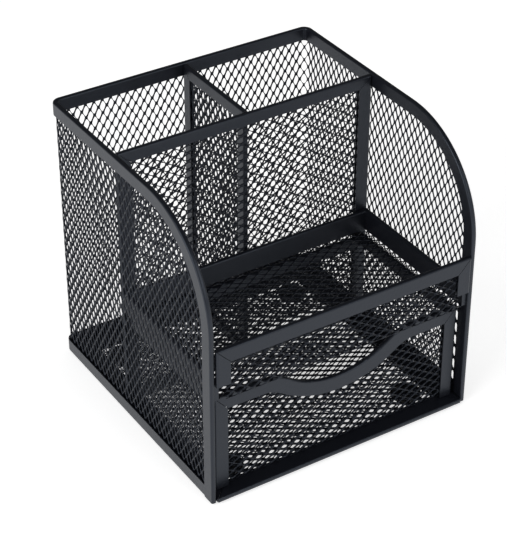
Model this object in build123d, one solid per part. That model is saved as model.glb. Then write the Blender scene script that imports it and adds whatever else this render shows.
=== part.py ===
"""Pen stand of black expanded-metal net with a pull-out drawer.

Every net panel is held along its edges by folded strips (a flat channel of thin sheet with the
net's edge clamped inside). Millimetres; +X right, +Y back, +Z up; the drawer opens towards -Y.
The origin is on the table under the middle of the stand.
"""
from build123d import *
import math
import os

# ---------------------------------------------------------------- driving dimensions
overall_width = 125.0        # X, over the side rims
overall_depth = 125.0        # Y, from the lip's face to the rear face
overall_height = 125.0       # Z, table to the top of the rims

net_thickness = 1.0          # stretched net, over its twisted strands
strip_sheet = 0.6            # sheet that the edge strips are folded from
fold_radius = 0.8            # rounding along a strip's folded edge
mitre_gap = 0.3              # seam left open where two strips meet at a corner

rim_width = 5.8              # strip along the front, curve and top of the walls
bottom_strip_height = 6.0    # strip along the foot of the walls
rim_curve_radius = 45.0      # big curve from the top down to the front edge of a side
wall_bend_radius = 4.0       # outside radius of the two upright rear corners

base_border = 8.5            # flat strips round the base net
base_corner_radius = 1.2     # rounded front corners of the base

cross_divider_y = 11.3       # middle plane of the divider behind the tray
divider_upright_width = 6.2  # upright and bottom strips of the cross divider
divider_rail_height = 5.2    # top rails of both dividers
centre_strip_width = 5.0     # upright and bottom strips of the centre divider
divider_top_drop = 0.5       # how far the dividers stay below the rims

tray_floor_z = 50.0          # middle plane of the tray's floor net
tray_flange_height = 9.5     # edging of the turned-up sides and back of the tray
lip_top_z = 75.0             # top of the front lip
lip_rail_width = 6.5
lip_end_width = 6.2
lip_end_height = 17.0        # end strips of the lip, from its top down
lip_overhang = 1.0           # how far the lip's face stands in front of the side rims
lip_side_clearance = 0.3     # between the lip's ends and the side rims

drawer_half_width = 58.3
drawer_recess = 4.0          # drawer face behind the front edges of the side rims
drawer_top_clearance = 0.5   # drawer front under the tray floor
drawer_floor_clearance = 0.3 # drawer floor over the base strips
drawer_rear_clearance = 0.6  # drawer back in front of the cross divider
drawer_end_width = 6.0       # end strips of the drawer front
drawer_rail_width = 6.8      # scooped top rail of the drawer front
drawer_side_drop = 0.8       # side and back walls lower than the drawer front
drawer_strip_height = 5.0    # strips on the side and back walls
scoop_half_width = 37.0      # finger dip in the drawer front
scoop_depth = 12.0
scoop_bowl_radius = 40.0     # middle arc of the dip

pad_diameter = 13.0          # four stick-on rubber pads under the base net
pad_thickness = 1.5
pad_from_side = 18.0         # pad centre from the side face
pad_from_end = 18.5          # pad centre from the front or rear face

gap_width = 8.8              # diamonds of the net, drawn at twice their real pitch
gap_height = 13.6
strand_width = 1.3
gap_margin = 1.0             # plain edge left on every net, hidden in its strips
bend_gap_width = 3.2         # diamonds in the upright rear bends
smallest_gap = 2.5           # mm2; smaller corners of diamonds stay closed

# ---------------------------------------------------------------- places that follow
strip_thickness = net_thickness + 2 * strip_sheet
frame_low_z = pad_thickness - strip_sheet        # the pads hold the strips off the table
half_width = overall_width / 2
rear_face_y = overall_depth / 2
front_face_y = -overall_depth / 2
inner_face_x = half_width - strip_thickness      # inside of the rims and foot strips
inner_face_y = rear_face_y - strip_thickness
wall_mid_x = half_width - strip_thickness / 2    # middle plane of a side wall
wall_mid_y = rear_face_y - strip_thickness / 2
rim_front_y = front_face_y + lip_overhang
flat_rear_y = rear_face_y - wall_bend_radius     # where the side walls turn
flat_half_x = half_width - wall_bend_radius
base_mid_z = frame_low_z + strip_thickness / 2
base_top_z = frame_low_z + strip_thickness
divider_top_z = overall_height - divider_top_drop
divider_front_y = cross_divider_y - strip_thickness / 2
divider_rear_y = cross_divider_y + strip_thickness / 2
tray_top_z = tray_floor_z + net_thickness / 2
lip_mid_y = front_face_y + strip_thickness / 2
lip_half_width = inner_face_x - lip_side_clearance
drawer_front_mid_y = rim_front_y + drawer_recess + strip_thickness / 2
drawer_front_back_y = drawer_front_mid_y + strip_thickness / 2
drawer_bottom_z = base_top_z + drawer_floor_clearance
drawer_front_top_z = tray_floor_z - net_thickness / 2 - drawer_top_clearance
drawer_wall_top_z = drawer_front_top_z - drawer_side_drop
drawer_wall_mid_x = drawer_half_width - strip_thickness / 2
drawer_rear_face_y = divider_front_y - drawer_rear_clearance
drawer_rear_mid_y = drawer_rear_face_y - strip_thickness / 2

ALONG_SIDE = Plane(origin=(0, 0, 0), x_dir=(0, 1, 0), z_dir=(1, 0, 0))     # draws (y, z)
ALONG_FRONT = Plane(origin=(0, 0, 0), x_dir=(1, 0, 0), z_dir=(0, -1, 0))   # draws (x, z)
FLAT = Plane.XY                                                            # draws (x, y)


# ---------------------------------------------------------------- flat shapes
def polygon(points):
    """Closed flat outline through the points."""
    return Wire.make_polygon([(u, v) for u, v in points], close=True)


def box_points(low_u, low_v, high_u, high_v):
    """Corners of an upright rectangle, anticlockwise."""
    return [(low_u, low_v), (high_u, low_v), (high_u, high_v), (low_u, high_v)]


def slab(face, plane, place, thickness):
    """The flat face set on a plane, its middle at the given distance along the normal."""
    seated = plane.offset(place)
    return extrude(face.moved(seated.location), thickness / 2, both=True)


def clipped(points, region):
    """The part of a polygon inside a convex anticlockwise region."""
    for start, end in zip(region, region[1:] + region[:1]):
        kept = []
        for here, there in zip(points, points[1:] + points[:1]):
            side_here = cross(start, end, here)
            side_there = cross(start, end, there)
            if side_here >= 0:
                kept.append(here)
            if (side_here > 0 > side_there) or (side_here < 0 < side_there):
                share = side_here / (side_here - side_there)
                kept.append((here[0] + share * (there[0] - here[0]), here[1] + share * (there[1] - here[1])))
        points = kept
        if not points:
            break
    return points


def cross(start, end, point):
    """Positive where the point lies left of the line from start to end."""
    return (end[0] - start[0]) * (point[1] - start[1]) - (end[1] - start[1]) * (point[0] - start[0])


def area(points):
    """Area of an anticlockwise polygon."""
    pairs = zip(points, points[1:] + points[:1])
    return sum(here[0] * there[1] - there[0] * here[1] for here, there in pairs) / 2


def merged(points, least=0.3):
    """The polygon without points that fall on the one before."""
    kept = [p for p, q in zip(points, points[-1:] + points[:-1]) if math.dist(p, q) > least]
    return kept


def diamonds(region, allowed=None, crosswise=False):
    """Staggered diamond gaps that fill a convex region, cut off at its edges.

    Their long way is along v, or along u where the net lies crosswise."""
    pitch_u, pitch_v = (gap_height, gap_width) if crosswise else (gap_width, gap_height)
    us = [u for u, v in region]
    vs = [v for u, v in region]
    middle_u = (min(us) + max(us)) / 2
    middle_v = (min(vs) + max(vs)) / 2
    width_between_sides = gap_width * gap_height / math.hypot(gap_width, gap_height)
    shrink = 1 - strand_width / width_between_sides
    half_u = pitch_u / 2 * shrink
    half_v = pitch_v / 2 * shrink
    columns = math.ceil((max(us) - min(us)) / pitch_u) + 1
    rows = math.ceil((max(vs) - min(vs)) / pitch_v) + 1
    gaps = []
    for row in range(-rows, rows + 1):
        for column in range(-columns, columns + 1):
            u = middle_u + (column + (row % 2) / 2) * pitch_u
            v = middle_v + row * pitch_v / 2
            gap = [(u + half_u, v), (u, v + half_v), (u - half_u, v), (u, v - half_v)]
            gap = merged(clipped(gap, region))
            if len(gap) < 3 or area(gap) < smallest_gap:
                continue
            if allowed is None or all(allowed(*point) for point in gap):
                gaps.append(gap)
    return gaps


def net(outline, gaps, plane, place):
    """A net: one face with its diamond gaps, given its thickness in one go."""
    face = Face(outline, [polygon(gap) for gap in gaps])
    print("    gaps", len(gaps))
    return slab(face, plane, place, net_thickness)


def rounded(solid, on_fold):
    """Round the edges whose middle point is on the strip's fold."""
    folds = [edge for edge in solid.edges() if on_fold(edge.position_at(0.5))]
    return fillet(folds, fold_radius)


# ---------------------------------------------------------------- edge strips of flat panels
def strip_points(rect, widths, side):
    """Outline of one strip of a framed panel, mitred where the next side has a strip too.

    At a mitre each strip stays half the seam short of the corner's diagonal."""
    left, right, bottom, top = (widths.get(name, 0) for name in ("left", "right", "bottom", "top"))
    seam = mitre_gap / 2
    if side in ("top", "bottom"):
        rect = (rect[0] + seam * (left > 0), rect[1], rect[2] - seam * (right > 0), rect[3])
    else:
        rect = (rect[0], rect[1] + seam * (bottom > 0), rect[2], rect[3] - seam * (top > 0))
    low_u, low_v, high_u, high_v = rect
    outlines = {
        "top": [(low_u + left, high_v - top), (high_u - right, high_v - top), (high_u, high_v), (low_u, high_v)],
        "bottom": [(low_u, low_v), (high_u, low_v), (high_u - right, low_v + bottom), (low_u + left, low_v + bottom)],
        "left": [(low_u, low_v), (low_u + left, low_v + bottom), (low_u + left, high_v - top), (low_u, high_v)],
        "right": [(high_u - right, low_v + bottom), (high_u, low_v), (high_u, high_v), (high_u - right, high_v - top)],
    }
    return outlines[side]


def inset_rect(rect, widths, amount):
    """The rectangle moved in by the amount on the sides that have a strip."""
    low_u, low_v, high_u, high_v = rect
    return (low_u + amount * ("left" in widths), low_v + amount * ("bottom" in widths),
            high_u - amount * ("right" in widths), high_v - amount * ("top" in widths))


def channel(points, slot_rect, plane, place, on_fold):
    """A folded strip: its outline at full thickness, less the slot that the net's edge fills."""
    bar = slab(Face(polygon(points)), plane, place, strip_thickness)
    slot = slab(Face(polygon(box_points(*slot_rect))), plane, place, net_thickness)
    return rounded(bar - slot, on_fold)


def fold_test(plane, place, side, level):
    """True on the outer long edges of a strip on the given side of its panel."""
    axis = 0 if side in ("left", "right") else 1

    def on_fold(point):
        local = plane.offset(place).to_local_coords(point)
        off_plane = abs(abs(local.Z) - strip_thickness / 2) < 0.01
        return off_plane and abs((local.X, local.Y)[axis] - level) < 0.01
    return on_fold


def frame_strips(rect, widths, plane, place):
    """All strips of a panel, by side."""
    levels = {"left": rect[0], "bottom": rect[1], "right": rect[2], "top": rect[3]}
    slot = inset_rect(rect, widths, strip_sheet)
    strips = {}
    for side in widths:
        on_fold = fold_test(plane, place, side, levels[side])
        strips[side] = channel(strip_points(rect, widths, side), slot, plane, place, on_fold)
    return strips


def framed_net(rect, widths, plane, place, crosswise=False):
    """The net of a framed panel, with its edges in the strips' slots."""
    outline = inset_rect(rect, widths, strip_sheet)
    low_u, low_v, high_u, high_v = outline
    region = box_points(low_u + gap_margin, low_v + gap_margin, high_u - gap_margin, high_v - gap_margin)
    return net(polygon(box_points(*outline)), diamonds(region, crosswise=crosswise), plane, place)


# ---------------------------------------------------------------- the outer wall
def side_outline(inset, rear_y, low_z):
    """Side profile: upright front, big curve, flat top; moved in by the inset."""
    front_y = rim_front_y + inset
    top_z = overall_height - inset
    radius = rim_curve_radius - inset
    centre = (rim_front_y + rim_curve_radius, overall_height - rim_curve_radius)
    on_curve = (centre[0] - radius * math.sqrt(0.5), centre[1] + radius * math.sqrt(0.5))
    front = Line((front_y, low_z), (front_y, centre[1]))
    curve = ThreePointArc((front_y, centre[1]), on_curve, (centre[0], top_z))
    top = Line((centre[0], top_z), (rear_y, top_z))
    rear = Line((rear_y, top_z), (rear_y, low_z))
    foot = Line((rear_y, low_z), (front_y, low_z))
    return Wire([front, curve, top, rear, foot])


def inset_of(y, z):
    """How far a point of the side plane lies inside the front, curve and top."""
    centre_y = rim_front_y + rim_curve_radius
    centre_z = overall_height - rim_curve_radius
    if y < centre_y and z > centre_z:
        return rim_curve_radius - math.hypot(y - centre_y, z - centre_z)
    return min(y - rim_front_y, overall_height - z)


def side_polygon(inset, foot_z, rear_y):
    """Convex polygon inside the side profile, its curve in short chords."""
    chords = 16
    radius = rim_curve_radius - inset
    centre = (rim_front_y + rim_curve_radius, overall_height - rim_curve_radius)
    curve = []
    for step in range(chords + 1):
        angle = math.pi / 2 * (1 + step / chords)
        curve.append((centre[0] + radius * math.cos(angle), centre[1] + radius * math.sin(angle)))
    return [(rim_front_y + inset, foot_z), (rear_y, foot_z), (rear_y, overall_height - inset)] + curve


def side_rim(middle_x):
    """Folded strip up the front edge, round the curve and along the top of a side."""
    beyond = 1.0
    past_foot = frame_low_z - beyond
    ring = Face(side_outline(0, flat_rear_y, frame_low_z))
    ring -= Face(side_outline(rim_width, flat_rear_y + beyond, past_foot))
    bar = slab(ring, ALONG_SIDE, middle_x, strip_thickness)
    inside = Face(side_outline(strip_sheet, flat_rear_y + beyond, past_foot))
    slot = slab(inside, ALONG_SIDE, middle_x, net_thickness)

    def on_fold(point):
        off_plane = abs(abs(point.X - middle_x) - strip_thickness / 2) < 0.01
        return off_plane and abs(inset_of(point.Y, point.Z)) < 0.01
    return rounded(bar - slot, on_fold)


def side_net(middle_x):
    """Side part of the wall net, up to the rear bend."""
    foot_z = frame_low_z + strip_sheet
    outline = side_polygon(strip_sheet, foot_z, flat_rear_y)
    region = side_polygon(strip_sheet + gap_margin, foot_z + gap_margin, flat_rear_y - gap_margin)
    return net(polygon(outline), diamonds(region), ALONG_SIDE, middle_x)


def wall_plan(outer_inset, inner_inset):
    """Plan of the rear wall and its two bends, between two insets from the outer face."""
    outer_radius = wall_bend_radius - outer_inset
    inner_radius = wall_bend_radius - inner_inset
    rear_outer = rear_face_y - outer_inset
    rear_inner = rear_face_y - inner_inset
    diagonal = math.sqrt(0.5)
    edges = []
    for radius, rear in ((outer_radius, rear_outer), (inner_radius, rear_inner)):
        left = ThreePointArc((-flat_half_x - radius, flat_rear_y),
                             (-flat_half_x - radius * diagonal, flat_rear_y + radius * diagonal),
                             (-flat_half_x, rear))
        right = ThreePointArc((flat_half_x, rear),
                              (flat_half_x + radius * diagonal, flat_rear_y + radius * diagonal),
                              (flat_half_x + radius, flat_rear_y))
        edges += [left, Line((-flat_half_x, rear), (flat_half_x, rear)), right]
    for side in (-1, 1):
        edges.append(Line((side * (flat_half_x + outer_radius), flat_rear_y),
                          (side * (flat_half_x + inner_radius), flat_rear_y)))
    return Face(Wire(edges))


def upright(face, low_z, high_z):
    """A plan face raised from one height to another."""
    return extrude(face.moved(Location((0, 0, low_z))), high_z - low_z, dir=(0, 0, 1))


def rear_strip(low_z, high_z, fold_z):
    """Folded strip along the rear wall and round both bends, folded over at fold_z."""
    bar = upright(wall_plan(0, strip_thickness), low_z, high_z)
    slot_low = low_z + strip_sheet * (fold_z == low_z)
    slot_high = high_z - strip_sheet * (fold_z == high_z)
    slot = upright(wall_plan(strip_sheet, strip_sheet + net_thickness), slot_low, slot_high)

    def on_fold(point):
        at_end = abs(point.Y - flat_rear_y) < 0.01
        return abs(point.Z - fold_z) < 0.01 and not at_end
    return rounded(bar - slot, on_fold)


def foot_strip(side):
    """Folded strip along the foot of one side wall."""
    front_y = rim_front_y + rim_width
    rect = (front_y, frame_low_z, flat_rear_y, frame_low_z + bottom_strip_height)
    widths = {"bottom": bottom_strip_height}
    return frame_strips(rect, widths, ALONG_SIDE, side * wall_mid_x)["bottom"]


def rear_net():
    """Flat part of the rear wall net, between the bends."""
    low_z = frame_low_z + strip_sheet
    high_z = overall_height - strip_sheet
    outline = box_points(-flat_half_x, low_z, flat_half_x, high_z)
    region = box_points(-flat_half_x + gap_margin, low_z + gap_margin,
                        flat_half_x - gap_margin, high_z - gap_margin)
    return net(polygon(outline), diamonds(region), ALONG_FRONT, -wall_mid_y)


def bend_net(side):
    """Upright quarter-round bend of the wall net, with a column of diamonds."""
    centre = Vector(side * flat_half_x, flat_rear_y, 0)
    outer_radius = wall_bend_radius - strip_sheet
    inner_radius = outer_radius - net_thickness
    height = overall_height - frame_low_z - 2 * strip_sheet
    middle_z = (overall_height + frame_low_z) / 2
    ring = Cylinder(outer_radius, height) - Cylinder(inner_radius, height)
    ring = Pos(centre.X, centre.Y, middle_z) * ring
    quarter = Pos(centre.X + side * wall_bend_radius / 2, centre.Y + wall_bend_radius / 2, middle_z)
    bend = ring & (quarter * Box(wall_bend_radius, wall_bend_radius, overall_height))
    outward = Vector(side, 1, 0)
    count = int((height - 2 * rim_width) // (gap_height / 2))
    for index in range(count):
        z = middle_z + (index - (count - 1) / 2) * gap_height / 2
        plane = Plane(origin=(centre.X, centre.Y, z), x_dir=(0, 0, 1), z_dir=outward)
        half_v = (gap_height / 2 - strand_width) / 2
        half_u = bend_gap_width / 2
        gap = Face(polygon([(half_v, 0), (0, half_u), (-half_v, 0), (0, -half_u)]))
        bend -= extrude(gap.moved(plane.location), 2 * wall_bend_radius, dir=outward)
    return bend


def outer_wall():
    nodes = {
        "rear_net": rear_net(),
        "rear_rim": rear_strip(overall_height - rim_width, overall_height, overall_height),
        "rear_bottom_strip": rear_strip(frame_low_z, frame_low_z + bottom_strip_height, frame_low_z),
    }
    for name, side in (("left", -1), ("right", 1)):
        nodes[name + "_side_net"] = side_net(side * wall_mid_x)
        nodes[name + "_side_rim"] = side_rim(side * wall_mid_x)
        nodes[name + "_bottom_strip"] = foot_strip(side)
        nodes["rear_" + name + "_bend_net"] = bend_net(side)
    return nodes


# ---------------------------------------------------------------- base
def base():
    """Base net in four flat mitred strips, its front edge under the lip's face."""
    rect = (-inner_face_x, front_face_y, inner_face_x, inner_face_y)
    widths = dict.fromkeys(("left", "right", "bottom", "top"), base_border)
    strips = frame_strips(rect, widths, FLAT, base_mid_z)
    for side, name in ((-1, "left"), (1, "right")):
        front = corner_waste(side, -1, front_face_y, base_corner_radius)
        rear = corner_waste(side, 1, inner_face_y, wall_bend_radius - strip_thickness)
        strips[name] = strips[name] - front - rear
        strips["bottom"] -= front
        strips["top"] -= rear
    return {
        "base_net": framed_net(rect, widths, FLAT, base_mid_z, crosswise=True),
        "base_front_strip": strips["bottom"],
        "base_rear_strip": strips["top"],
        "base_left_strip": strips["left"],
        "base_right_strip": strips["right"],
    }


def corner_waste(side, end, corner_y, radius):
    """What is cut away to round an upright corner of the base."""
    x = side * inner_face_x
    square = Box(radius, radius, 2 * strip_thickness)
    square = Pos(x - side * radius / 2, corner_y - end * radius / 2, base_mid_z) * square
    bar = Pos(x - side * radius, corner_y - end * radius, base_mid_z) * Cylinder(radius, 3 * strip_thickness)
    return square - bar


def pads():
    """Four stick-on pads under the base net, which the stand rests on."""
    nodes = {}
    for end_name, end in (("front", -1), ("rear", 1)):
        for side_name, side in (("left", -1), ("right", 1)):
            x = side * (half_width - pad_from_side)
            y = end * (rear_face_y - pad_from_end)
            pad = Pos(x, y, pad_thickness / 2) * Cylinder(pad_diameter / 2, pad_thickness)
            nodes[end_name + "_" + side_name + "_pad"] = pad
    return nodes


# ---------------------------------------------------------------- dividers
def cross_divider():
    rect = (-inner_face_x, base_top_z, inner_face_x, divider_top_z)
    widths = {"left": divider_upright_width, "right": divider_upright_width,
              "bottom": divider_upright_width, "top": divider_rail_height}
    strips = frame_strips(rect, widths, ALONG_FRONT, -cross_divider_y)
    return {
        "cross_divider_net": framed_net(rect, widths, ALONG_FRONT, -cross_divider_y, crosswise=True),
        "cross_divider_top_rail": strips["top"],
        "cross_divider_bottom_strip": strips["bottom"],
        "cross_divider_left_strip": strips["left"],
        "cross_divider_right_strip": strips["right"],
    }


def centre_divider():
    rect = (divider_rear_y, base_top_z, inner_face_y, divider_top_z)
    widths = {"left": centre_strip_width, "right": centre_strip_width,
              "bottom": centre_strip_width, "top": divider_rail_height}
    strips = frame_strips(rect, widths, ALONG_SIDE, 0)
    return {
        "centre_divider_net": framed_net(rect, widths, ALONG_SIDE, 0),
        "centre_divider_top_rail": strips["top"],
        "centre_divider_bottom_strip": strips["bottom"],
        "centre_divider_front_strip": strips["left"],
        "centre_divider_rear_strip": strips["right"],
    }


# ---------------------------------------------------------------- tray with its front lip
def tray():
    """Tray over the drawer: floor net, turned-up edges in hemmed strips, and the front lip."""
    lip_back_y = lip_mid_y + strip_thickness / 2
    net_back_y = lip_mid_y + net_thickness / 2
    floor = (-inner_face_x, net_back_y, inner_face_x, divider_front_y)
    nodes = {"tray_floor_net": framed_net(floor, {}, FLAT, tray_floor_z, crosswise=True)}

    low_z = tray_top_z
    high_z = tray_top_z + tray_flange_height
    middle_z = (low_z + high_z) / 2
    length = divider_front_y - lip_back_y
    middle_y = (divider_front_y + lip_back_y) / 2
    for name, side in (("left", -1), ("right", 1)):
        middle_x = side * (inner_face_x - strip_thickness / 2)
        bar = Pos(middle_x, middle_y, middle_z) * Box(strip_thickness, length, tray_flange_height)
        nodes["tray_" + name + "_flange"] = hemmed(bar, high_z, Axis.Y)
    rear_length = 2 * (inner_face_x - strip_thickness)
    rear_y = divider_front_y - strip_thickness / 2
    bar = Pos(0, rear_y, middle_z) * Box(rear_length, strip_thickness, tray_flange_height)
    nodes["tray_rear_flange"] = hemmed(bar, high_z, Axis.X)

    rect = (-lip_half_width, lip_top_z - lip_end_height, lip_half_width, lip_top_z)
    widths = {"left": lip_end_width, "right": lip_end_width, "top": lip_rail_width}
    strips = frame_strips(rect, widths, ALONG_FRONT, -lip_mid_y)
    nodes["lip_rail"] = strips["top"]
    nodes["lip_left_strip"] = strips["left"]
    nodes["lip_right_strip"] = strips["right"]
    sheet_rect = (rect[0], tray_floor_z - net_thickness / 2, rect[2], rect[3])
    nodes["lip_net"] = framed_net(sheet_rect, widths, ALONG_FRONT, -lip_mid_y, crosswise=True)
    return nodes


def hemmed(bar, fold_z, direction):
    """A hemmed strip: a bar with both long top edges rounded."""
    top_edges = bar.edges().filter_by(direction).filter_by(lambda edge: abs(edge.center().Z - fold_z) < 0.01)
    return fillet(top_edges, fold_radius)


# ---------------------------------------------------------------- drawer
def scoop_angle():
    """Turn of each arc of the finger dip."""
    return 2 * math.atan(scoop_depth / scoop_half_width)


def scoop_drop(x, inset=0.0):
    """How far the drawer front's top edge lies below its straight level at x."""
    angle = scoop_angle()
    radii = scoop_half_width / math.sin(angle)
    shoulder = radii - scoop_bowl_radius - inset
    bowl = scoop_bowl_radius + inset
    x = abs(x)
    if x >= scoop_half_width:
        return inset
    if x > bowl * math.sin(angle):
        across = scoop_half_width - x
        return inset + shoulder - math.sqrt(shoulder ** 2 - across ** 2)
    return scoop_depth + inset - bowl + math.sqrt(bowl ** 2 - x ** 2)


def scoop_edges(half_length, inset):
    """The drawer front's top edge from left to right, moved down by the inset."""
    angle = scoop_angle()
    bowl = scoop_bowl_radius + inset
    turn_x = bowl * math.sin(angle)
    shoulder_mid_x = (turn_x + scoop_half_width) / 2
    bowl_z = drawer_front_top_z - scoop_drop(0, inset)

    def at(x):
        return (x, drawer_front_top_z - scoop_drop(x, inset))
    return [
        Line((-half_length, at(scoop_half_width)[1]), at(-scoop_half_width)),
        ThreePointArc(at(-scoop_half_width), at(-shoulder_mid_x), at(-turn_x)),
        ThreePointArc(at(-turn_x), (0, bowl_z), at(turn_x)),
        ThreePointArc(at(turn_x), at(shoulder_mid_x), at(scoop_half_width)),
        Line(at(scoop_half_width), (half_length, at(scoop_half_width)[1])),
    ]


def scooped_face(half_length, inset, low_z):
    """Face under the scooped edge, down to low_z."""
    top_z = drawer_front_top_z - inset
    edges = scoop_edges(half_length, inset)
    edges.append(Line((half_length, top_z), (half_length, low_z)))
    edges.append(Line((half_length, low_z), (-half_length, low_z)))
    edges.append(Line((-half_length, low_z), (-half_length, top_z)))
    return Face(Wire(edges))


def drawer_front():
    """Front panel of the drawer: net, two end strips and the scooped top rail."""
    place = -drawer_front_mid_y
    rail_low_z = drawer_front_top_z - drawer_rail_width
    rail_half = drawer_half_width - mitre_gap / 2
    clear_half = rail_half - drawer_end_width
    edges = scoop_edges(rail_half, 0)
    edges += scoop_edges(clear_half, drawer_rail_width)
    for side in (-1, 1):
        edges.append(Line((side * rail_half, drawer_front_top_z), (side * clear_half, rail_low_z)))
    slot_face = scooped_face(drawer_half_width - strip_sheet, strip_sheet, drawer_bottom_z)
    slot = slab(slot_face, ALONG_FRONT, place, net_thickness)
    rail = slab(Face(Wire(edges)), ALONG_FRONT, place, strip_thickness) - slot

    def on_rail_fold(point):
        off_plane = abs(abs(point.Y - drawer_front_mid_y) - strip_thickness / 2) < 0.01
        level = drawer_front_top_z - scoop_drop(point.X)
        return off_plane and abs(point.Z - level) < 0.01
    nodes = {"drawer_front_rail": rounded(rail, on_rail_fold)}

    rect = (-drawer_half_width, drawer_bottom_z, drawer_half_width, drawer_front_top_z)
    widths = {"left": drawer_end_width, "right": drawer_end_width, "top": drawer_rail_width}
    for side, level in (("left", rect[0]), ("right", rect[2])):
        bar = slab(Face(polygon(strip_points(rect, widths, side))), ALONG_FRONT, place, strip_thickness)
        on_fold = fold_test(ALONG_FRONT, place, side, level)
        nodes["drawer_front_" + side + "_strip"] = rounded(bar - slot, on_fold)

    margin = strip_sheet + gap_margin
    region = box_points(-drawer_half_width + margin, drawer_bottom_z + gap_margin,
                        drawer_half_width - margin, drawer_front_top_z - margin)

    def under_edge(x, z):
        return z < drawer_front_top_z - scoop_drop(x, strip_sheet) - gap_margin / 2
    outline = slot_face.outer_wire()
    gaps = diamonds(region, under_edge, crosswise=True)
    nodes["drawer_front_net"] = net(outline, gaps, ALONG_FRONT, place)
    return nodes


def drawer_box():
    """Floor, sides and back of the drawer, with strips along the upper edges."""
    nodes = {}
    side_rect = (drawer_front_back_y, drawer_bottom_z, drawer_rear_face_y, drawer_wall_top_z)
    top_only = {"top": drawer_strip_height}
    for name, side in (("left", -1), ("right", 1)):
        place = side * drawer_wall_mid_x
        nodes["drawer_" + name + "_side_net"] = framed_net(side_rect, top_only, ALONG_SIDE, place)
        strips = frame_strips(side_rect, top_only, ALONG_SIDE, place)
        nodes["drawer_" + name + "_top_strip"] = strips["top"]
    inside_x = drawer_half_width - strip_thickness
    rear_rect = (-inside_x, drawer_bottom_z, inside_x, drawer_wall_top_z)
    nodes["drawer_rear_net"] = framed_net(rear_rect, top_only, ALONG_FRONT, -drawer_rear_mid_y, crosswise=True)
    nodes["drawer_rear_top_strip"] = frame_strips(rear_rect, top_only, ALONG_FRONT, -drawer_rear_mid_y)["top"]
    nodes["drawer_floor_net"] = drawer_floor()
    return nodes


def drawer_floor():
    """Floor net of the drawer; between the front's end strips it reaches the front net."""
    half_x = drawer_wall_mid_x - net_thickness / 2
    tongue_x = drawer_half_width - drawer_end_width
    tongue_y = drawer_front_mid_y + net_thickness / 2
    rear_y = drawer_rear_mid_y - net_thickness / 2
    outline = [(-half_x, rear_y), (-half_x, drawer_front_back_y), (-tongue_x, drawer_front_back_y),
               (-tongue_x, tongue_y), (tongue_x, tongue_y), (tongue_x, drawer_front_back_y),
               (half_x, drawer_front_back_y), (half_x, rear_y)]
    region = box_points(-half_x + gap_margin, drawer_front_back_y + gap_margin,
                        half_x - gap_margin, rear_y - gap_margin)
    gaps = diamonds(region, crosswise=True)
    return net(polygon(outline), gaps, FLAT, drawer_bottom_z + net_thickness / 2)


# ---------------------------------------------------------------- the whole stand
def build():
    nodes = {}
    for section in (outer_wall, base, pads, cross_divider, centre_divider, tray, drawer_front, drawer_box):
        nodes.update(section())
    return nodes


os.makedirs("parts", exist_ok=True)
for node_name, solid in build().items():
    export_step(solid, os.path.join("parts", node_name + ".step"))
    print(node_name, round(solid.volume, 1))
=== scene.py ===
# %% [markdown]
# # A pen stand of black net, dressed for its portrait
#
# The real thing is a small desk stand. Its walls, dividers, tray and drawer are stretched steel
# net, and every cut edge of the net is gripped by a folded strip of sheet. All of it carries one
# coat of black powder paint. The measured model already holds the strips in their true shape, so
# here they only get their paint. The net is another matter: the model draws it at more than twice
# its real pitch and in flat plate, and this lesson weaves it again, fine and twisted as it is.

# %% Load the measured model
import math

import bpy
import numpy as np
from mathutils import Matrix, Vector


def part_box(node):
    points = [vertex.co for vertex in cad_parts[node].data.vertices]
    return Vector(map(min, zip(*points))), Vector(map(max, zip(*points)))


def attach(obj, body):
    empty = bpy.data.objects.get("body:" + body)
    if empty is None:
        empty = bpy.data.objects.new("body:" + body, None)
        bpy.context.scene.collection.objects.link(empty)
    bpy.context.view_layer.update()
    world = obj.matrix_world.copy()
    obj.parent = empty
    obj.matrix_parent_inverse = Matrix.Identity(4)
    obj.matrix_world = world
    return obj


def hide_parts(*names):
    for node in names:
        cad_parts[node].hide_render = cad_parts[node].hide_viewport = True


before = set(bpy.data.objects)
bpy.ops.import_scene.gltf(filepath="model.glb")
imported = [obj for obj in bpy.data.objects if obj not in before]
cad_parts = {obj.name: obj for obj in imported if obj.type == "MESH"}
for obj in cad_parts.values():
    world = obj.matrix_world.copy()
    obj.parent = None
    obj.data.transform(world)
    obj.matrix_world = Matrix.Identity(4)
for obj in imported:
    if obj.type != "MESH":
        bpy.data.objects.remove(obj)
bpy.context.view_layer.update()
scene = bpy.context.scene
MM = 0.001


# %% [markdown]
# ## Reading the places from the model
#
# The net lies between the strips of the measured model. Its places could be typed in a second
# time, but then they would part from the model at the first change. So they are read from the
# model's own pieces, in millimetres. Only what a piece's box can't tell is typed: the thickness of
# the strips' sheet, the radius of the big curve of the sides, and the radius of the folds.

# %% Reading the box of a piece
X, Y, Z = 0, 1, 2


def low_high(node):
    """Lowest and highest corner of a piece of the measured model, in millimetres."""
    low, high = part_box(node)
    return np.array(low) / MM, np.array(high) / MM


def middle(node, axis):
    """Middle plane of a flat piece, half way through its thickness."""
    low, high = low_high(node)
    return (low[axis] + high[axis]) / 2


# %% Places of the walls
SHEET = 0.6           # the strips are folded from this thickness
wall_x = middle("right_side_net", X)
wall_rear_y = middle("rear_net", Y)
wall_low, wall_high = low_high("right_side_net")
bend_start_y = wall_high[Y]                   # where the side walls turn into the rear wall
bend_radius = wall_rear_y - bend_start_y      # measured at the middle of the net
rim_low, rim_high = low_high("right_side_rim")
print("wall planes at x", round(wall_x, 2), "and y", round(wall_rear_y, 2))
print("bend radius", round(bend_radius, 2))


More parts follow.
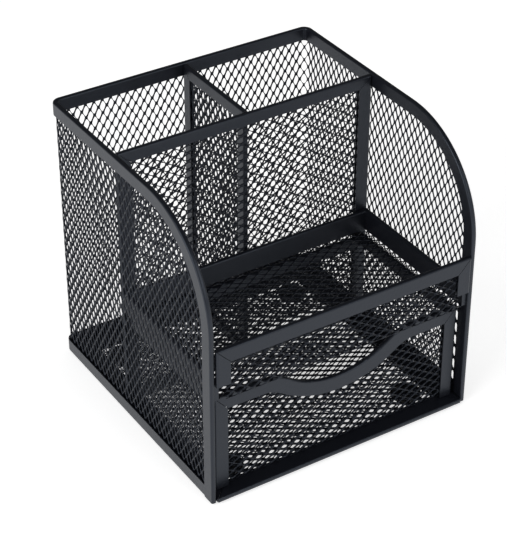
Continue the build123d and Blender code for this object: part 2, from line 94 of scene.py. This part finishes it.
# %% [markdown]
# ## One diamond of stretched net
#
# Stretched net starts as a plain sheet. A press cuts staggered slits in it and pulls, and every
# slit opens into a diamond. Two things make it look real: the diamonds have soft corners, and the
# strands between them are twisted, so one side of each opening stands a little forward and the
# other a little back. A grid of wires would show neither. So each opening is drawn as a ring of
# points, and the strands are the surface between neighbouring rings.

# %% The ring round one opening
LONG_PITCH = 6.2      # from opening to opening, the long way of the diamonds
SHORT_PITCH = 3.9     # the same, the short way
STRAND = 0.65         # width of a strand
NET_SHEET = 0.30      # thickness of the net's own sheet
TWIST = 0.26          # how far each side of an opening stands forward or back
RING = 12             # points round an opening, three in each quarter
SOFTNESS = 1.3        # 1 gives a sharp diamond, 2 an ellipse


def ring_points():
    """A softened diamond |s/S|^p + |l/L|^p = 1, as points at even steps of its angle.

    s runs the short way and l the long way; w is the twist, back on the side where s is high and
    forward on the other. S and L are half a pitch, shrunk alike until every side of the diamond
    has moved in by half a strand, measured square to the side."""
    half_strand = STRAND / 2 * math.hypot(2 / SHORT_PITCH, 2 / LONG_PITCH)
    half_s = SHORT_PITCH / 2 * (1 - half_strand)
    half_l = LONG_PITCH / 2 * (1 - half_strand)
    angle = (np.arange(RING) + 0.5) * 2 * np.pi / RING
    s = half_s * np.sign(np.cos(angle)) * np.abs(np.cos(angle)) ** (2 / SOFTNESS)
    l = half_l * np.sign(np.sin(angle)) * np.abs(np.sin(angle)) ** (2 / SOFTNESS)
    return s, l, -TWIST * s / half_s


print("one opening in mm:", [round(float(np.ptp(v)), 2) for v in ring_points()])


# %% [markdown]
# ## A whole net from rings
#
# The openings stand in a staggered lattice. Each one reaches four neighbours by a strand, and four
# openings meet at every crossing. Copies of one diamond would do, but their seams would have to be
# welded afterwards. Here the faces are the same list of ring points, moved from opening to
# opening, so neighbours share their points from the start and numpy writes them all at once. The
# back of the net is the same surface a sheet's thickness behind it, and a narrow wall closes every
# edge where only one face ends.

# %% The staggered lattice
def lattice(low_s, high_s, low_l, high_l, start_s, start_l):
    """Middles of the openings over a rectangle, and which places of the table hold one.

    Column and row count half pitches from the start, with one to spare at each end; an opening
    stands where both are even or both are odd."""
    columns = np.arange(math.floor((low_s - start_s) / (SHORT_PITCH / 2)) - 1,
                        math.ceil((high_s - start_s) / (SHORT_PITCH / 2)) + 2)
    rows = np.arange(math.floor((low_l - start_l) / (LONG_PITCH / 2)) - 1,
                     math.ceil((high_l - start_l) / (LONG_PITCH / 2)) + 2)
    column, row = np.meshgrid(columns, rows, indexing="ij")
    s = start_s + column * SHORT_PITCH / 2
    l = start_l + row * LONG_PITCH / 2
    return s, l, (column + row) % 2 == 0


# %% Faces between the rings
def joined_faces(opening):
    """Faces between the rings of a lattice, where the table holds an opening's number or -1.

    A strand runs from each opening to the two above it, right and left, in steps round a quarter
    of both rings. A crossing is an eight-sided face between the openings to its left, right, top
    and bottom."""
    quarter = RING // 4
    padded = np.pad(opening, 2, constant_values=-1)

    def neighbour(column, row):
        """The table moved by columns and rows, so that each place holds its neighbour."""
        columns, rows = padded.shape
        return padded[2 + column:columns - 2 + column, 2 + row:rows - 2 + row]

    def ring(number, place):
        """Number of a point: the ring's number times its points, plus the place round it."""
        return number * RING + place % RING

    faces = []
    for step in range(quarter - 1):
        for turn, other in enumerate((neighbour(1, 1), neighbour(-1, 1))):
            keep = (opening >= 0) & (other >= 0)
            a, b = opening[keep], other[keep]
            near = turn * quarter + step
            far = (turn + 3) * quarter - 1 - step
            faces.append(np.stack([ring(a, near), ring(b, far),
                                   ring(b, far - 1), ring(a, near + 1)], 1))
    right, up, down = neighbour(2, 0), neighbour(1, 1), neighbour(1, -1)
    keep = (opening >= 0) & (right >= 0) & (up >= 0) & (down >= 0)
    a, r, u, d = opening[keep], right[keep], up[keep], down[keep]
    faces.append(np.stack([ring(r, 2 * quarter), ring(r, 2 * quarter - 1), ring(u, 3 * quarter),
                           ring(u, 3 * quarter - 1), ring(a, 0), ring(a, -1),
                           ring(d, quarter), ring(d, quarter - 1)], 1))
    return faces


def open_edges(faces):
    """Directed edges whose way back is in no other face, so that only one face ends there."""
    edges = np.concatenate([np.stack([f, np.roll(f, -1, 1)], 2).reshape(-1, 2) for f in faces])
    size = edges.max() + 1
    forward = edges[:, 0] * size + edges[:, 1]
    backward = edges[:, 1] * size + edges[:, 0]
    return edges[~np.isin(forward, backward)]


# %% [markdown]
# The lattice is flat. A `place` function then lays it where the net is: on a wall, or round a
# bend. It takes the two ways along the net and the distance from its middle, so the same lattice
# serves every panel. A `hold` function keeps the outermost points inside the strip that grips
# them. Cutting the net with a boolean would leave slivers there, and this leaves none.

# %% From points and faces to a piece
def mesh_object(name, points, faces):
    """Object from points in millimetres and a list of face arrays, its unused points left out."""
    used, flat = np.unique(np.concatenate([f.ravel() for f in faces]), return_inverse=True)
    sizes = np.concatenate([np.full(len(f), f.shape[1]) for f in faces])
    mesh = bpy.data.meshes.new(name)
    mesh.vertices.add(len(used))
    mesh.vertices.foreach_set("co", (points[used] * MM).astype(np.float32).ravel())
    mesh.loops.add(len(flat))
    mesh.loops.foreach_set("vertex_index", flat.astype(np.int32).ravel())
    mesh.polygons.add(len(sizes))
    mesh.polygons.foreach_set("loop_start", (np.cumsum(sizes) - sizes).astype(np.int32))
    mesh.update(calc_edges=True)
    mesh.validate()
    piece = bpy.data.objects.new(name, mesh)
    scene.collection.objects.link(piece)
    return piece


# %% A net at its real pitch
def woven(name, extent, inside, hold, place, start, lean, owner=None, flip=False):
    """A net: every ring is its opening's middle plus the ring's points, held and then placed.

    extent is the lattice's (low s, high s, low l, high l) and start the middle of one opening;
    inside(s, l) says which openings the net has; hold(s, l) moves points into the strips;
    place(s, l, w) gives points in space; lean(s) is the share of the twist, and below 0 it turns
    the strands the other way; owner(s) picks the part of a longer net that this piece is; flip is
    for a place whose s, l and w are left-handed, so that faces still point outwards."""
    s, l, staggered = lattice(*extent, *start)
    chosen = staggered & inside(s, l)
    opening = np.full(s.shape, -1)
    opening[chosen] = np.arange(chosen.sum())
    ring_s, ring_l, ring_w = ring_points()
    point_s = (s[chosen][:, None] + ring_s).ravel()
    point_l = (l[chosen][:, None] + ring_l).ravel()
    point_w = lean(point_s) * np.tile(ring_w, chosen.sum())
    point_s, point_l = hold(point_s, point_l)
    front = joined_faces(opening)
    if owner is not None:
        front = [f[owner(point_s[f].mean(1))] for f in front]
    front = [f for f in front if len(f)]
    outer = place(point_s, point_l, point_w + NET_SHEET / 2)
    inner = place(point_s, point_l, point_w - NET_SHEET / 2)
    count = len(outer)
    edges = open_edges(front)
    walls = np.stack([edges[:, 1], edges[:, 0], edges[:, 0] + count, edges[:, 1] + count], 1)
    faces = front + [f[:, ::-1] + count for f in front] + [walls]
    if flip:
        faces = [f[:, ::-1] for f in faces]
    piece = mesh_object(name, np.concatenate([outer, inner]), faces)
    print(name, "openings", int(chosen.sum()), "faces", len(piece.data.polygons))
    return piece


# %% [markdown]
# ## The wall that goes round
#
# The left wall, the rear wall and the right wall are one net, bent upright round the two rear
# corners. Three panels could meet there, but seen from outside the real diamonds run on round the
# bends without a seam. So one lattice is laid along the whole way round, and only then cut into
# three pieces of a handy size.

# %% The way round
side_length = bend_start_y - rim_low[Y]   # from the front edge to the bend
bend_length = bend_radius * math.pi / 2
rear_length = 2 * (wall_x - bend_radius)
way_round = 2 * side_length + 2 * bend_length + rear_length
print("way round the walls", round(way_round, 1), "of which the rear", round(rear_length, 1))


def along_wall(s, l, w):
    """Point at distance s along the net's way round the walls, height l, and w outwards.

    x and y are the straight stretches walked so far, and the bend's radius plus w, turned by the
    angle of the bends passed so far: x is less by its cosine and y more by its sine."""
    second_bend = side_length + bend_length + rear_length
    turn = (np.clip((s - side_length) / bend_radius, 0, np.pi / 2)
            + np.clip((s - second_bend) / bend_radius, 0, np.pi / 2))
    along_left = np.minimum(s, side_length)
    along_rear = np.clip(s - side_length - bend_length, 0, rear_length)
    along_right = np.maximum(s - second_bend - bend_length, 0)
    reach = bend_radius + w
    x = (-wall_x + bend_radius) + along_rear - reach * np.cos(turn)
    y = rim_low[Y] + along_left + reach * np.sin(turn) - along_right
    return np.stack([x, y, l], 1)


# %% Keeping the wall's net inside its rim
TUCK = 0.15                               # a net's edge stops this short of what it runs into
FOOT_TUCK = 0.1                           # the same at the foot of the walls
GRIP = SHEET + TUCK                       # a net's edge lies this far inside its strip's outside
RIM_ROOM, FOOT_ROOM = 0.3, 0.4            # an opening's middle is this far inside the net's edge
curve_radius = 45.0                       # big curve of the sides, as on the side rims
curve_z = rim_high[Z] - curve_radius      # height at which that curve starts
print("the rims hold the net", round(GRIP, 2), "from their outside")


def wall_depth(s):
    """How far a place on the way round is from the front edge of its side."""
    return np.minimum(s, way_round - s)


def wall_inset(s, l):
    """Distance inside the rim: in the corner the curve's radius less the distance from the
    curve's middle, and elsewhere the distance from the front edge or the top, if that is less."""
    depth = wall_depth(s)
    top = rim_high[Z] - l
    from_curve = curve_radius - np.hypot(curve_radius - depth, l - curve_z)
    in_corner = (depth < curve_radius) & (l > curve_z)
    return np.where(in_corner, from_curve, np.minimum(depth, top))


def in_wall(s, l):
    """Openings whose middle lies well inside the rim and the foot strip."""
    return (wall_inset(s, l) > GRIP + RIM_ROOM) & (l > wall_low[Z] + FOOT_ROOM)


def hold_wall(s, l):
    """Pulls points that stick out of the rim or the foot strip back to their grip: straight back
    from an edge, and towards the curve's middle in the corner."""
    left_side = s < way_round / 2
    depth = np.maximum(wall_depth(s), GRIP)
    l = np.clip(l, wall_low[Z] + FOOT_TUCK, rim_high[Z] - GRIP)
    reach = np.hypot(curve_radius - depth, l - curve_z)
    shrink = np.minimum(1, (curve_radius - GRIP) / np.maximum(reach, 1e-6))
    in_corner = (depth < curve_radius) & (l > curve_z)
    depth = np.where(in_corner, curve_radius - (curve_radius - depth) * shrink, depth)
    l = np.where(in_corner, curve_z + (l - curve_z) * shrink, l)
    return np.where(left_side, depth, way_round - depth), l


# %% Three pieces of the way round
SIDE_LEAN, REAR_LEAN = 0.85, -1.45        # share of the twist, and its way
FIRST_ROW = 3.4                           # middle of a row of openings, under the top of the rims


def wall_lean(s):
    """Twist along the way round: one way on both sides, the other way along the rear, and
    changing over evenly along each bend."""
    into_bend = np.clip((wall_depth(s) - side_length) / bend_length, 0, 1)
    return SIDE_LEAN + (REAR_LEAN - SIDE_LEAN) * into_bend


first_cut = side_length
second_cut = way_round - side_length
wall_parts = {
    "left_wall_net": (lambda s: s < first_cut, ("left_side_net",)),
    "rear_wall_net": (lambda s: (s >= first_cut) & (s <= second_cut),
                      ("rear_net", "rear_left_bend_net", "rear_right_bend_net")),
    "right_wall_net": (lambda s: s > second_cut, ("right_side_net",)),
}
nets = []
for name, (owner, nodes) in wall_parts.items():
    piece = woven(name, (0, way_round, wall_low[Z], rim_high[Z]), in_wall, hold_wall, along_wall,
                  start=(way_round / 2, rim_high[Z] - FIRST_ROW), lean=wall_lean,
                  owner=owner, flip=True)
    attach(piece, "casing")
    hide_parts(*nodes)
    nets.append(piece)


# %% [markdown]
# ## Flat panels
#
# The base, the dividers and the sides of the drawer are flat. Each could be laid out by hand, but
# they are all the same weave on a rectangle, and the rectangle is the box of the model's own net.
# The long way of the diamonds stands upright on the centre divider and the drawer's sides, and
# lies crosswise on the base and the cross divider.

# %% A rectangle of net
EDGE_ROOM = 0.5       # an opening's middle is at least this far from the edge of its net


def flat_panel(name, node, body, normal, long_axis, lean=1):
    """Net over a flat node: s and l are its short and long axis, and w its normal.

    normal and long_axis are X, Y or Z, and lean is the share and the way of the twist."""
    low, high = low_high(node)
    short_axis = 3 - normal - long_axis
    level = (low[normal] + high[normal]) / 2

    def inside(s, l):
        """Openings whose middle lies well inside the rectangle."""
        return ((s > low[short_axis] + EDGE_ROOM) & (s < high[short_axis] - EDGE_ROOM)
                & (l > low[long_axis] + EDGE_ROOM) & (l < high[long_axis] - EDGE_ROOM))

    def hold(s, l):
        """Both ways clipped to the rectangle, a tuck inside its edges."""
        return (np.clip(s, low[short_axis] + TUCK, high[short_axis] - TUCK),
                np.clip(l, low[long_axis] + TUCK, high[long_axis] - TUCK))

    def place(s, l, w):
        """The two ways on their own axes, and w from the panel's level."""
        points = np.zeros((len(s), 3))
        points[:, short_axis] = s
        points[:, long_axis] = l
        points[:, normal] = level + w
        return points

    right_handed = (short_axis, long_axis, normal) in ((X, Y, Z), (Y, Z, X), (Z, X, Y))
    middle_s = (low[short_axis] + high[short_axis]) / 2
    middle_l = (low[long_axis] + high[long_axis]) / 2
    extent = (low[short_axis], high[short_axis], low[long_axis], high[long_axis])
    piece = woven(name, extent, inside, hold, place, start=(middle_s, middle_l),
                  lean=lambda s: lean * np.ones_like(s), flip=not right_handed)
    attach(piece, body)
    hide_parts(node)
    nets.append(piece)


flat_panel("floor_net", "base_net", "casing", Z, X, lean=1.15)
flat_panel("cross_divider_weave", "cross_divider_net", "casing", Y, X)
flat_panel("centre_divider_weave", "centre_divider_net", "casing", X, Z, lean=-1)
flat_panel("drawer_left_weave", "drawer_left_side_net", "drawer", X, Z)
flat_panel("drawer_right_weave", "drawer_right_side_net", "drawer", X, Z)


# %% [markdown]
# ## Nets with a fold
#
# The tray's net turns up at the front and becomes the lip. The drawer's net comes down the front,
# runs back as the floor and turns up again behind. A bend modifier could fold a flat net, but its
# ends would move and miss their strips. A fold is a small quarter circle, so these nets are
# carried along a path of straight runs and quarter turns, seen from the side of the stand.

# %% A path with quarter turns
FOLD = 1.2            # radius of a fold, at the middle of the net
TURN_LENGTH = FOLD * math.pi / 2


def folded_place(corners):
    """place function for a net that follows corner points (y, z), each turn a quarter circle.

    The long way of the diamonds runs across the stand, and s is the distance along the path. Also
    gives the length of the path, and the distance at which each straight run starts."""
    runs = []
    for index, (here, there) in enumerate(zip(corners[:-1], corners[1:])):
        here, there = np.array(here), np.array(there)
        ahead = (there - here) / np.linalg.norm(there - here)
        first = here + ahead * FOLD * (index > 0)
        last = there - ahead * FOLD * (index < len(corners) - 2)
        runs.append((first, ahead, np.linalg.norm(last - first)))
    starts = np.cumsum([0] + [run[2] + TURN_LENGTH for run in runs[:-1]])
    total = starts[-1] + runs[-1][2]

    def place(s, l, w):
        """Along a run, s goes straight ahead; past its end the fold's radius plus w is turned,
        its sine going ahead and its cosine to the side."""
        y, z = np.zeros(len(s)), np.zeros(len(s))
        for start, (first, ahead, length) in zip(starts, runs):
            side = np.array([ahead[1], -ahead[0]])
            along = s - start
            on_run = (along >= 0) & (along <= length + TURN_LENGTH)
            straight = np.clip(along, 0, length)
            turned = np.maximum(along - length, 0) / FOLD
            reach = FOLD + w
            y_run = first[0] + ahead[0] * (straight + reach * np.sin(turned))
            z_run = first[1] + ahead[1] * (straight + reach * np.sin(turned))
            y_run += side[0] * (reach * np.cos(turned) - FOLD)
            z_run += side[1] * (reach * np.cos(turned) - FOLD)
            y = np.where(on_run, y_run, y)
            z = np.where(on_run, z_run, z)
        return np.stack([l, y, z], 1)
    return place, total, starts


print("a fold takes", round(TURN_LENGTH, 2), "of the net's length")


# %% The twist of a folded net
FRONT_LEAN, FLAT_LEAN = 1.30, -0.75     # share of the twist on an upright front and past its fold


def lean_past(fold_end):
    """lean function that changes evenly from the front's share to the floor's over the fold."""
    return lambda s: np.interp(s, [fold_end - TURN_LENGTH, fold_end], [FRONT_LEAN, FLAT_LEAN])


# %% The tray with its lip
SIDE_ROOM = 0.4       # an opening's middle is this far from the sides of a folded net,
REAR_ROOM = 0.3       # and this far from the tray's rear edge
REAR_TUCK = 0.1       # the tray's net stops this short of its own rear edge
lip_high = low_high("lip_net")[1]
tray_low, tray_high = low_high("tray_floor_net")
lip_y = middle("lip_net", Y)
tray_z = middle("tray_floor_net", Z)
tray_place, tray_total, tray_starts = folded_place(
    [(lip_y, lip_high[Z] - TUCK), (lip_y, tray_z), (tray_high[Y] - REAR_TUCK, tray_z)])
lip_reach = tray_starts[1]


def tray_half(s):
    """Half width of the tray's net: the lip's up to its fold, and then the floor's, each a tuck
    less than the model's own."""
    return np.where(s < lip_reach, lip_high[X], tray_high[X]) - TUCK


def in_tray(s, l):
    """Openings whose middle lies well inside the lip's top, the sides and the rear edge."""
    return (s > EDGE_ROOM) & (s < tray_total - REAR_ROOM) & (np.abs(l) < tray_half(s) - SIDE_ROOM)


def hold_tray(s, l):
    """Both ways clipped to the length and the half width of the net."""
    return np.clip(s, 0, tray_total), np.clip(l, -tray_half(s), tray_half(s))


tray_net = woven("tray_weave", (0, tray_total, tray_low[X], tray_high[X]), in_tray, hold_tray,
                 tray_place, start=(lip_reach, 0.0), lean=lean_past(lip_reach))
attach(tray_net, "casing")
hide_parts("tray_floor_net", "lip_net")
nets.append(tray_net)


# %% [markdown]
# ## The drawer's net
#
# The front of the drawer dips in the middle for a finger. The dip's upper edge is two curves that
# swing in from the sides and a bowl between them. Its formula could be written here again, but the
# rail of the measured model already has it. So the height is read from the rail, slice by slice
# across the width, and the net ends inside the rail wherever the rail goes.

# %% Height of the dip across the front
RAIL_CUTS = 60        # upright cuts across the rail, two to a slice
CUT_REACH = 1e-3      # a point this close to a cut counts on both of its sides


def rail_profile():
    """Upper edge of the rail: the middle and the highest point of each slice that has a point."""
    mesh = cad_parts["drawer_front_rail"].data
    points = np.empty(len(mesh.vertices) * 3)
    mesh.vertices.foreach_get("co", points)
    points = points.reshape(-1, 3) / MM
    x, z = points[:, X], points[:, Z]
    cuts = np.linspace(x.min(), x.max(), RAIL_CUTS)
    tops = np.array([z[(x >= a - CUT_REACH) & (x <= b + CUT_REACH)].max(initial=-1)
                     for a, b in zip(cuts[:-1], cuts[1:])])
    centres = (cuts[:-1] + cuts[1:]) / 2
    return centres[tops > 0], tops[tops > 0]


profile_x, profile_z = rail_profile()
print("the dip is", round(float(np.ptp(profile_z)), 1), "deep")

# %% The drawer's front, floor and back
INTO_SIDES = 0.4      # the floor and the back reach this far past the model's, into the sides
BEFORE_FLOOR = 1.0    # the front's width ends this far before the floor starts
front_low, front_high = low_high("drawer_front_net")
back_high = low_high("drawer_rear_net")[1]
drawer_floor_z = middle("drawer_floor_net", Z)
front_y = middle("drawer_front_net", Y)
back_y = middle("drawer_rear_net", Y)
drawer_place, drawer_total, drawer_starts = folded_place(
    [(front_y, front_high[Z]), (front_y, drawer_floor_z), (back_y, drawer_floor_z),
     (back_y, back_high[Z] - TUCK)])
floor_start = drawer_starts[1]


def drawer_top(l):
    """Least distance s along the path at which the front's net starts, under the dipped rail."""
    return front_high[Z] + SHEET - np.interp(l, profile_x, profile_z) + TUCK


def drawer_half(s):
    """Half width of the drawer's net: the front is a little wider than the floor and the back."""
    width = np.where(s < floor_start - BEFORE_FLOOR, front_high[X], back_high[X] + INTO_SIDES)
    return width - TUCK


def in_drawer(s, l):
    """Openings whose middle lies well inside the dip, the sides and the top of the back."""
    return ((s > drawer_top(l) + SIDE_ROOM) & (s < drawer_total - EDGE_ROOM)
            & (np.abs(l) < drawer_half(s) - SIDE_ROOM))


def hold_drawer(s, l):
    """Both ways clipped: s between the dip and the end of the path, l to the half width."""
    return np.clip(s, drawer_top(l), drawer_total), np.clip(l, -drawer_half(s), drawer_half(s))


drawer_net = woven("drawer_weave", (0, drawer_total, front_low[X], front_high[X]), in_drawer,
                   hold_drawer, drawer_place, start=(floor_start, 0.0),
                   lean=lean_past(floor_start))
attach(drawer_net, "drawer")
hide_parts("drawer_front_net", "drawer_floor_net", "drawer_rear_net")
nets.append(drawer_net)


# %% [markdown]
# ## Powder paint
#
# Powder paint melts into a thin skin that is black and half glossy, with a fine orange-peel
# ripple. The ripple is what keeps its highlights soft and slightly broken. A picture of paint
# would need every strip unwrapped, and noise in the piece's own coordinates needs nothing. The
# strips and the net get the same paint, so the ripple and the fine dust are one node group, used
# with different strengths.

# %% Helpers for shader nodes
def new_group(name, inputs, outputs):
    """Empty shader group with named inputs (name, value) and outputs (name, kind)."""
    group = bpy.data.node_groups.new(name, "ShaderNodeTree")
    for label, value in inputs:
        socket = group.interface.new_socket(label, in_out="INPUT", socket_type="NodeSocketFloat")
        socket.default_value = value
    for label, kind in outputs:
        group.interface.new_socket(label, in_out="OUTPUT", socket_type=kind)
    return group, group.nodes.new("NodeGroupInput"), group.nodes.new("NodeGroupOutput")


def add_node(tree, kind, values=None, operation=None):
    """New node with the values of its free sockets and, if it does sums, which one."""
    node = tree.nodes.new(kind)
    if operation:
        node.operation = operation
    for label, value in (values or {}).items():
        node.inputs[label].default_value = value
    return node


def link(tree, source, target):
    """Joins an output to an input."""
    tree.links.new(source, target)


# %% The group that both paints use
paint_group, given, result = new_group(
    "powder_ripple",
    [("Ripple scale", 1400.0), ("Ripple depth", 0.2), ("Dust scale", 90.0), ("Roughness", 0.4),
     ("Roughness spread", 0.08)],
    [("Normal", "NodeSocketVector"), ("Roughness", "NodeSocketFloat"),
     ("Dust", "NodeSocketFloat")])
coordinates = add_node(paint_group, "ShaderNodeTexCoord")
print("powder_ripple gives", [item.name for item in result.inputs if item.name])

# %% Its ripple
ripple = add_node(paint_group, "ShaderNodeTexNoise", {"Detail": 2.0})
bump = add_node(paint_group, "ShaderNodeBump", {"Distance": 0.0002})
link(paint_group, coordinates.outputs["Object"], ripple.inputs["Vector"])
link(paint_group, given.outputs["Ripple scale"], ripple.inputs["Scale"])
link(paint_group, given.outputs["Ripple depth"], bump.inputs["Strength"])
link(paint_group, ripple.outputs["Fac"], bump.inputs["Height"])
link(paint_group, bump.outputs["Normal"], result.inputs["Normal"])

# %% Its dust: roughness plus the spread times the noise's distance from its middle value
dust = add_node(paint_group, "ShaderNodeTexNoise", {"Detail": 4.0})
from_middle = add_node(paint_group, "ShaderNodeMath", {1: 0.5}, operation="SUBTRACT")
spread = add_node(paint_group, "ShaderNodeMath", operation="MULTIPLY_ADD")
link(paint_group, coordinates.outputs["Object"], dust.inputs["Vector"])
link(paint_group, given.outputs["Dust scale"], dust.inputs["Scale"])
link(paint_group, dust.outputs["Fac"], from_middle.inputs[0])
link(paint_group, from_middle.outputs[0], spread.inputs[0])
link(paint_group, given.outputs["Roughness spread"], spread.inputs[1])
link(paint_group, given.outputs["Roughness"], spread.inputs[2])
link(paint_group, spread.outputs[0], result.inputs["Roughness"])
link(paint_group, dust.outputs["Fac"], result.inputs["Dust"])

# %% Two paints and a rubber
MIX_DARK, MIX_LIGHT, MIXED = 6, 7, 2      # a Mix node's colour sockets: two inputs, one output


def painted(name, dark, light, values, specular=0.5, tint=(1.0, 1.0, 1.0)):
    """Material with the powder group: its colour drifts from dark to light with the dust."""
    material = bpy.data.materials.new(name)
    material.use_nodes = True
    tree = material.node_tree
    shader = tree.nodes["Principled BSDF"]
    shader.inputs["Specular IOR Level"].default_value = specular
    shader.inputs["Specular Tint"].default_value = (*tint, 1)
    group = tree.nodes.new("ShaderNodeGroup")
    group.node_tree = paint_group
    for label, value in values.items():
        group.inputs[label].default_value = value
    drift = tree.nodes.new("ShaderNodeMix")
    drift.data_type = "RGBA"
    drift.inputs[MIX_DARK].default_value = (*dark, 1)
    drift.inputs[MIX_LIGHT].default_value = (*light, 1)
    link(tree, group.outputs["Dust"], drift.inputs[0])
    link(tree, drift.outputs[MIXED], shader.inputs["Base Color"])
    link(tree, group.outputs["Normal"], shader.inputs["Normal"])
    link(tree, group.outputs["Roughness"], shader.inputs["Roughness"])
    return material


COOL = (0.74, 0.84, 1.0)                  # the paint's gloss is a little blue
strip_paint = painted("strip_paint", (0.0048, 0.0052, 0.0078), (0.0078, 0.0086, 0.0125),
                      {"Ripple scale": 1400, "Ripple depth": 0.25, "Roughness": 0.38}, tint=COOL)
# The net's paint is the strips' paint made darker: painted shade, standing in for the dimness of
# the thin strands.
net_paint_with_painted_shade = painted("net_paint_with_painted_shade", (0.0040, 0.0042, 0.0068), (0.0066, 0.0071, 0.0110),
                    {"Ripple scale": 2000, "Ripple depth": 0.15, "Roughness": 0.40},
                    specular=0.42, tint=COOL)
pad_rubber = painted("pad_rubber", (0.010, 0.010, 0.010), (0.02, 0.02, 0.02),
                     {"Ripple scale": 900, "Ripple depth": 0.4, "Roughness": 0.8}, specular=0.3)


# %% Painting every piece
def dress(piece, material):
    """Gives a piece its only material."""
    piece.data.materials.clear()
    piece.data.materials.append(material)


for piece in nets:
    dress(piece, net_paint_with_painted_shade)
for name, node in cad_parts.items():
    if name.endswith("_net"):
        continue
    material = pad_rubber if name.endswith("_pad") else strip_paint
    node.data.materials.clear()
    node.data.materials.append(material)
print("woven pieces painted:", len(nets))


# %% [markdown]
# ## Table, light and camera
#
# The stand is shown on white. Black gloss paint shows little colour of its own: its upright faces
# mirror the white table and turn grey, the more so the flatter they are seen, and its tops mirror
# a dark room and stay nearly black. Strong lamps would wash the black out. So the table glows for
# the camera and for mirror rays, the room is dark for mirror rays alone, and two soft lamps, left
# and front, only add the shadow and some shape.

# %% The table
TABLE_REACH = 8.0     # metres from the stand to the table's edges
TABLE_DROP = 0.0002   # the table lies this far below the pads, so that they don't flicker
TABLE_GLOW = 0.6      # its glow, for the camera and for mirror rays
floor_mesh = bpy.data.meshes.new("table_top")
floor_mesh.from_pydata([(x * TABLE_REACH, y * TABLE_REACH, 0)
                        for x, y in ((-1, -1), (1, -1), (1, 1), (-1, 1))], [], [(0, 1, 2, 3)])
table_top = bpy.data.objects.new("table_top", floor_mesh)
table_top.location.z = -TABLE_DROP
scene.collection.objects.link(table_top)
print("table", 2 * TABLE_REACH, "m wide")

# %% Its white: the glow times whichever of the two kinds of ray it is
white = bpy.data.materials.new("white_table")
white.use_nodes = True
tree = white.node_tree
shader = tree.nodes["Principled BSDF"]
shader.inputs["Base Color"].default_value = (0.8, 0.8, 0.8, 1)
shader.inputs["Roughness"].default_value = 1.0
shader.inputs["Specular IOR Level"].default_value = 0.0
shader.inputs["Emission Color"].default_value = (1, 1, 1, 1)
seen = add_node(tree, "ShaderNodeLightPath")
either = add_node(tree, "ShaderNodeMath", operation="MAXIMUM")
glow = add_node(tree, "ShaderNodeMath", {1: TABLE_GLOW}, operation="MULTIPLY")
link(tree, seen.outputs["Is Camera Ray"], either.inputs[0])
link(tree, seen.outputs["Is Glossy Ray"], either.inputs[1])
link(tree, either.outputs[0], glow.inputs[0])
link(tree, glow.outputs[0], shader.inputs["Emission Strength"])
floor_mesh.materials.append(white)

# %% The room
ROOM_LIGHT = 0.35     # what lights the paint
ROOM_MIRRORED = 0.08  # what the paint mirrors
ROOM_SEEN = 1.0       # what the camera sees
world = bpy.data.worlds.new("studio")
scene.world = world
world.use_nodes = True
tree = world.node_tree
background = tree.nodes["Background"]
background.inputs["Color"].default_value = (1, 1, 1, 1)
path = add_node(tree, "ShaderNodeLightPath")
room = add_node(tree, "ShaderNodeMapRange", {"To Min": ROOM_LIGHT, "To Max": ROOM_MIRRORED})
level = add_node(tree, "ShaderNodeMapRange", {"To Max": ROOM_SEEN})
link(tree, path.outputs["Is Glossy Ray"], room.inputs["Value"])
link(tree, path.outputs["Is Camera Ray"], level.inputs["Value"])
link(tree, room.outputs["Result"], level.inputs["To Min"])
link(tree, level.outputs["Result"], background.inputs["Strength"])
print("room: light", ROOM_LIGHT, "mirrored", ROOM_MIRRORED, "seen", ROOM_SEEN)

# %% Two lamps
STAND_MIDDLE = (0, 0, 0.06)


def lamp(name, place, size, watts):
    """Square soft lamp aimed at the stand's middle: tipped from straight down by the angle whose
    tangent is its distance aside over its height, and turned to face the stand."""
    data = bpy.data.lights.new(name, "AREA")
    data.size = size
    data.energy = watts
    item = bpy.data.objects.new(name, data)
    item.location = place
    aside, back, height = np.array(place) - np.array(STAND_MIDDLE)
    item.rotation_euler = (math.atan2(math.hypot(aside, back), height), 0,
                           math.atan2(aside, -back))
    scene.collection.objects.link(item)
    print(name, watts, "W")


lamp("left_lamp", (-1.1, -0.25, 0.55), size=0.9, watts=9)
lamp("front_lamp", (0.35, -1.3, 0.75), size=0.8, watts=6)

# %% The camera that took the portrait
FRAME_HEIGHT = 540                        # the photograph's long side, in pixels
FOCAL_LENGTH = 1895                       # found from the stand's edges, in the same pixels
camera_data = bpy.data.cameras.new("photo_camera")
camera = bpy.data.objects.new("photo_camera", camera_data)
scene.collection.objects.link(camera)
scene.camera = camera
azimuth, elevation = math.radians(32.3), math.radians(34.1)
camera_data.sensor_width = 36
camera_data.lens = FOCAL_LENGTH / FRAME_HEIGHT * camera_data.sensor_width
camera.location = (-0.352, -0.550, 0.497)
camera.rotation_euler = (math.pi / 2 - elevation, 0.0, -azimuth)
scene.view_settings.view_transform = "Standard"
print("lens", round(camera_data.lens, 1), "mm")
